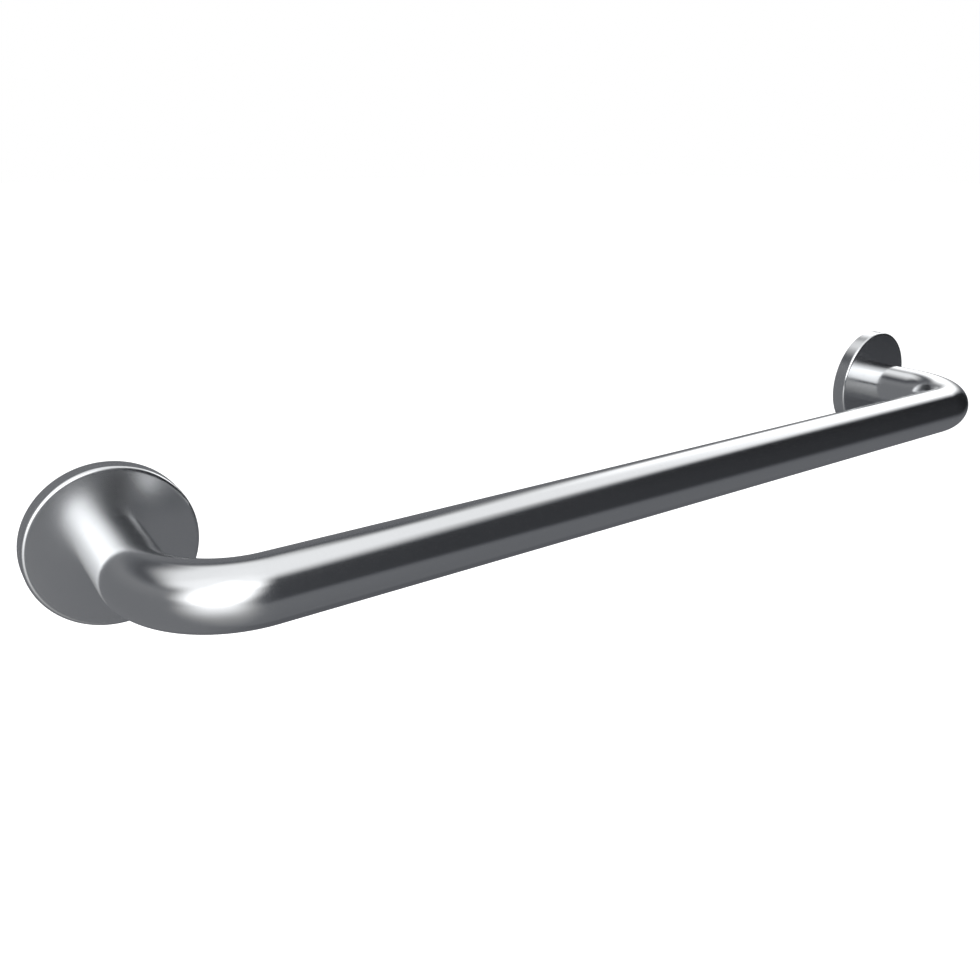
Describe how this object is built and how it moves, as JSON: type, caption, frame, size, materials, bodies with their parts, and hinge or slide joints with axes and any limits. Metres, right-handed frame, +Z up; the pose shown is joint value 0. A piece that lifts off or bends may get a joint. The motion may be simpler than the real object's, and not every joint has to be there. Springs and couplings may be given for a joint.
{
  "type": "grab bar",
  "caption": "Straight wall-mounted grab bar: a bent satin steel tube welded to round screw plates that push-fit covers hide.",
  "frame": {"origin": "on the wall, midway between the axes of the two flanges", "axes": "+X along the bar, from the left flange to the right one as seen from the room; +Y into the wall, so the bar stands out towards -Y; +Z up"},
  "size_m": [0.68, 0.106, 0.08],
  "materials": {
    "tube_steel": "satin polished stainless steel",
    "cover_steel": "satin polished stainless steel, spun and drawn",
    "plate_steel": "mill finish stainless steel, with welds",
    "gasket_rubber": "matt black closed-cell rubber"
  },
  "bodies": {
    "root": {"grab_tube": "tube_steel", "left_mounting_plate": "plate_steel", "left_cover": "cover_steel", "left_wall_gasket": "gasket_rubber", "right_mounting_plate": "plate_steel", "right_cover": "cover_steel", "right_wall_gasket": "gasket_rubber"}
  },
  "joints": []
}
